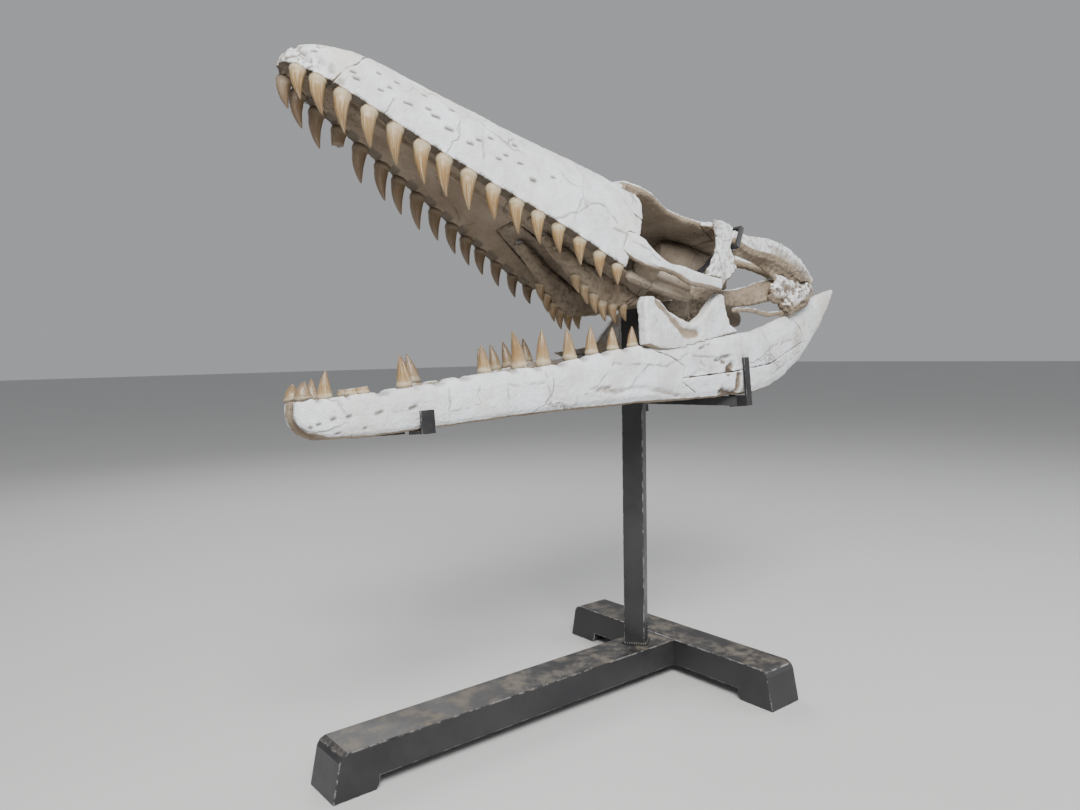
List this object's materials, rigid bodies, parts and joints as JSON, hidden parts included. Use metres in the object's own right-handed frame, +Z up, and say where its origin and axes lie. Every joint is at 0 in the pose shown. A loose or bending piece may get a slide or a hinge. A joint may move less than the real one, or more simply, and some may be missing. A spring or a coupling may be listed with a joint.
{
  "type": "fossil mosasaur skull on a floor stand",
  "caption": "Fossil skull of a large mosasaur with open jaws and recurved conical teeth, raised on a black steel post with a T-shaped floor base.",
  "frame": {"origin": "on the floor, under the middle of the whole object's bounding box", "axes": "+Z up; the snout points to -X; the animal's left side faces -Y"},
  "size_m": [1.2382, 0.538, 1.0728],
  "materials": {
    "fossil_bone": "near-white matt fossil bone with fine cracks and brown undersides",
    "stained_bone": "brown matt fossil bone of the palate and braincase",
    "tooth_enamel": "semi-gloss honey and cream enamel, darker to the tip",
    "black_steel": "satin black paint, worn bright along the edges"
  },
  "bodies": {
    "root": {"premaxilla": "fossil_bone", "frontal": "fossil_bone", "parietal": "fossil_bone", "maxilla_left": "fossil_bone", "maxilla_right": "fossil_bone", "prefrontal_left": "fossil_bone", "prefrontal_right": "fossil_bone", "postorbital_left": "fossil_bone", "postorbital_right": "fossil_bone", "jugal_left": "fossil_bone", "jugal_right": "fossil_bone", "squamosal_left": "fossil_bone", "squamosal_right": "fossil_bone", "dentary_left": "fossil_bone", "dentary_right": "fossil_bone", "surangular_left": "fossil_bone", "surangular_right": "fossil_bone", "angular_left": "fossil_bone", "angular_right": "fossil_bone", "articular_left": "fossil_bone", "articular_right": "fossil_bone", "coronoid_left": "fossil_bone", "coronoid_right": "fossil_bone", "braincase": "stained_bone", "quadrate_left": "stained_bone", "quadrate_right": "stained_bone", "pterygoid_left": "stained_bone", "pterygoid_right": "stained_bone", "ectopterygoid_left": "stained_bone", "ectopterygoid_right": "stained_bone", "palatine_left": "stained_bone", "palatine_right": "stained_bone", "stand_beam_long": "black_steel", "stand_beam_cross": "black_steel", "stand_post": "black_steel", "stand_rail": "black_steel", "stand_yoke": "black_steel", "stand_arm_left": "black_steel", "stand_arm_right": "black_steel", "stand_clip_rear_left": "black_steel", "stand_clip_rear_right": "black_steel", "stand_clip_front_left": "black_steel", "stand_clip_front_right": "black_steel", "stand_clamp_left": "black_steel", "stand_clamp_right": "black_steel"}
  },
  "joints": []
}
